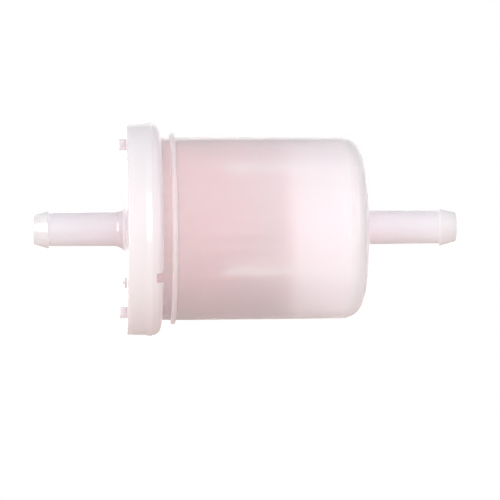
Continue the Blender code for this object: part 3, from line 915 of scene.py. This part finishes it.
def build_media():
    low_x, high_x, outer = span("pleated_media")
    path = sheet_path(MEDIA_INNER, outer, random.Random(11))
    count = len(path)
    left, right = [], []
    for index, spot in enumerate(path):
        along = (path[min(index + 1, count - 1)] - path[max(index - 1, 0)]).normalized()
        normal = Vector((-along.y, along.x)) * (SHEET / 2)
        left.append(spot + normal)
        right.append(spot - normal)
    outline = left + right[::-1]
    bm = bmesh.new()
    rings = []
    for station in range(SHEET_STATIONS + 1):
        share = station / SHEET_STATIONS
        lean = Matrix.Rotation(SHEET_LEAN * math.sin(2 * math.pi * share), 2)
        x = low_x + (high_x - low_x) * share
        rings.append([bm.verts.new((x, *(lean @ spot))) for spot in outline])
    for lower, upper in zip(rings, rings[1:]):
        bridge(bm, lower, upper)
    for ring in (rings[0], rings[-1]):
        for index in range(count - 1):
            across = len(outline) - 1 - index
            bm.faces.new((ring[index], ring[index + 1], ring[across - 1], ring[across]))
    stand_in(smooth_piece(bm, "pleats", [PAPER]), "pleated_media")


def squared(value, power):
    """A sine or cosine pulled towards 1 or -1, which squares off the oval that it draws."""
    return math.copysign(abs(value) ** power, value)


def build_seam():
    low_x, high_x, _ = span("pleated_media")
    bm = bmesh.new()
    rings = []
    for station in range(SEAM_STATIONS + 1):
        share = station / SEAM_STATIONS
        x = low_x + (high_x - low_x) * share
        swell = SEAM_SWELL * math.sin(11 * share) * math.sin(29 * share)
        ring = []
        for step in range(SEAM_STEPS):
            turn = 2 * math.pi * step / SEAM_STEPS
            across = SEAM_MIDDLE + (SEAM_WIDTH / 2 + swell) * squared(math.cos(turn), 0.4)
            through = SEAM_THICKNESS / 2 * squared(math.sin(turn), 0.6)
            ring.append(bm.verts.new((x, across, through)))
        rings.append(ring)
    for lower, upper in zip(rings, rings[1:]):
        bridge(bm, lower, upper)
    bm.faces.new(rings[0])
    bm.faces.new(rings[-1])
    bmesh.ops.transform(bm, matrix=Matrix.Rotation(SEAM_ANGLE, 4, "X"), verts=bm.verts[:])
    stand_in(smooth_piece(bm, "seam_glue", [GLUE]), "media_seam")


def build_core():
    """Perforated tube: a grid of faces with windows left open, thickened and rounded."""
    low_x, high_x, _ = span("core_tube")
    window = ((high_x - low_x) - CORE_BAND * (CORE_ROWS + 1)) / CORE_ROWS
    stations = [low_x]
    in_window = []
    for _ in range(CORE_ROWS):
        stations.append(stations[-1] + CORE_BAND)
        in_window.append(False)
        for _ in range(CORE_WINDOW_ROWS):
            stations.append(stations[-1] + window / CORE_WINDOW_ROWS)
            in_window.append(True)
    stations.append(high_x)
    in_window.append(False)
    around = CORE_COLUMNS * CORE_COLUMN_STEPS
    windows = {step for step in range(around) if step % CORE_COLUMN_STEPS < CORE_WINDOW_STEPS}
    bm = bmesh.new()
    rings = [ring_at(bm, x, CORE_RADIUS, around) for x in stations]
    for row, open_row in enumerate(in_window):
        bridge(bm, rings[row], rings[row + 1], gaps=windows if open_row else ())
    bmesh.ops.recalc_face_normals(bm, faces=bm.faces[:])
    core = link("core", mesh_from(bm, "core"), [WHITE])
    solid = core.modifiers.new("wall", "SOLIDIFY")
    solid.thickness = CORE_WALL
    solid.offset = -1.0
    solid.use_even_offset = True
    edges = core.modifiers.new("edges", "BEVEL")
    edges.width = CORE_EDGE
    edges.segments = 2
    edges.limit_method = "ANGLE"
    edges.angle_limit = math.radians(50.0)
    apply_modifiers(core)
    stand_in(core, "core_tube")


def build_seal():
    """Rubber ring with a fine line of flash along each side."""
    low_x, high_x, outer = span("spigot_seal")
    middle = (low_x + high_x) / 2
    cord = (high_x - low_x) / 2
    centre = outer - cord
    corners = []
    for step in range(SEAL_STEPS):
        turn = 2 * math.pi * step / SEAL_STEPS
        flash = SEAL_FLASH if step in (0, SEAL_STEPS // 2) else 0.0
        reach = cord - SEAL_FLASH + flash
        x = middle + reach * math.cos(turn)
        corners.append((x, centre + reach * math.sin(turn), 0.0, OUTSIDE))
    stand_in(lathe("seal_ring", corners, [RUBBER], around=96), "spigot_seal")


# ---------------------------------------------------------------- studio

# Brightness of the world as seen, in reflections and as a light
WORLD_SEEN = 1.0
WORLD_GLOSS = 0.84
WORLD_LIGHT = 0.44
CENTRE = Vector((0.0, 0.0, 0.0))
LAMP_DISTANCE = 0.6
LAMP_ELEVATION = 0.05  # radians


def build_world():
    """A white studio that is softer in reflections and as a light than it looks."""
    world = bpy.data.worlds.new("studio")
    bpy.context.scene.world = world
    world.use_nodes = True
    tree = world.node_tree
    back = tree.nodes["Background"]
    back.inputs["Color"].default_value = (1.0, 1.0, 1.0, 1.0)
    path = tree.nodes.new("ShaderNodeLightPath")
    glossy = tree.nodes.new("ShaderNodeMix")
    glossy.data_type = "FLOAT"
    glossy.inputs["A"].default_value = WORLD_LIGHT
    glossy.inputs["B"].default_value = WORLD_GLOSS
    tree.links.new(path.outputs["Is Glossy Ray"], glossy.inputs["Factor"])
    seen = tree.nodes.new("ShaderNodeMix")
    seen.data_type = "FLOAT"
    seen.inputs["B"].default_value = WORLD_SEEN
    tree.links.new(path.outputs["Is Camera Ray"], seen.inputs["Factor"])
    tree.links.new(glossy.outputs["Result"], seen.inputs["A"])
    tree.links.new(seen.outputs["Result"], back.inputs["Strength"])


def softbox(name, spot, width, height, brightness, unlit):
    """A soft lamp of the given radiance, aimed at the filter.

    The camera doesn't see it, and it skips what the unlit collection excludes.
    """
    data = bpy.data.lights.new(name, "AREA")
    data.shape = "RECTANGLE"
    data.size = width
    data.size_y = height
    data.energy = brightness * math.pi * width * height
    lamp = bpy.data.objects.new(name, data)
    bpy.context.scene.collection.objects.link(lamp)
    lamp.location = spot
    lamp.rotation_euler = (CENTRE - Vector(spot)).to_track_quat("-Z", "Y").to_euler()
    lamp.visible_camera = False
    lamp.light_linking.receiver_collection = unlit


def around_front(azimuth):
    """A lamp's place at an azimuth from the front (-Y), positive toward +X."""
    flat = LAMP_DISTANCE * math.cos(LAMP_ELEVATION)
    height = LAMP_DISTANCE * math.sin(LAMP_ELEVATION)
    return (flat * math.sin(azimuth), -flat * math.cos(azimuth), height)


def build_lights(floor):
    """Lamps for the filter alone; the floor has the even light of the studio."""
    unlit = bpy.data.collections.new("unlit")
    unlit.objects.link(floor)
    unlit.collection_objects[0].light_linking.link_state = "EXCLUDE"
    softbox("left", around_front(math.radians(-31)), 0.32, 0.78, 3.92, unlit)
    softbox("right", around_front(math.radians(62)), 0.19, 0.78, 2.1, unlit)
    softbox("back", (0.0, 0.9, 0.02), 1.8, 1.2, 0.66, unlit)
    softbox("top", (0.0, 0.0, 0.6), 0.6, 0.5, 0.02, unlit)


def build_floor():
    bm = bmesh.new()
    bmesh.ops.create_circle(bm, cap_ends=True, segments=96, radius=FLOOR_RADIUS)
    floor = link("floor", mesh_from(bm, "floor"), [FLOOR])
    floor.location.z = FLOOR_Z
    return floor


CAMERA_DISTANCE = 0.682
CAMERA_AZIMUTH = math.radians(-3.3)
CAMERA_ROLL = math.radians(0.42)
SENSOR = 36.0
FRAME_WIDTH = 94.75 * MM
AIM = Vector((0.9 * MM, 0.0, -4.2 * MM))


def build_camera():
    data = bpy.data.cameras.new("camera")
    data.sensor_width = SENSOR
    data.lens = SENSOR * CAMERA_DISTANCE / FRAME_WIDTH
    camera = bpy.data.objects.new("camera", data)
    bpy.context.scene.collection.objects.link(camera)
    offset = Vector((math.sin(CAMERA_AZIMUTH), -math.cos(CAMERA_AZIMUTH), 0.0)) * CAMERA_DISTANCE
    back = offset.normalized()
    right = Vector((0.0, 0.0, 1.0)).cross(back).normalized()
    up = back.cross(right)
    turned_up = up * math.cos(CAMERA_ROLL) + right * math.sin(CAMERA_ROLL)
    turned_right = right * math.cos(CAMERA_ROLL) - up * math.sin(CAMERA_ROLL)
    axes = Matrix((turned_right, turned_up, back)).transposed().to_4x4()
    camera.matrix_world = Matrix.Translation(AIM + offset) @ axes
    bpy.context.scene.camera = camera


build_camera()
build_world()
build_lights(build_floor())
build_bowl()
build_cap()
build_weld_bead()
build_outlet_disc()
build_closed_disc()
build_potting("outlet_glue", "outlet_potting", 1)
build_potting("closed_glue", "closed_potting", -1)
build_media()
build_seam()
build_core()
build_seal()
bpy.context.scene.view_settings.view_transform = "Standard"
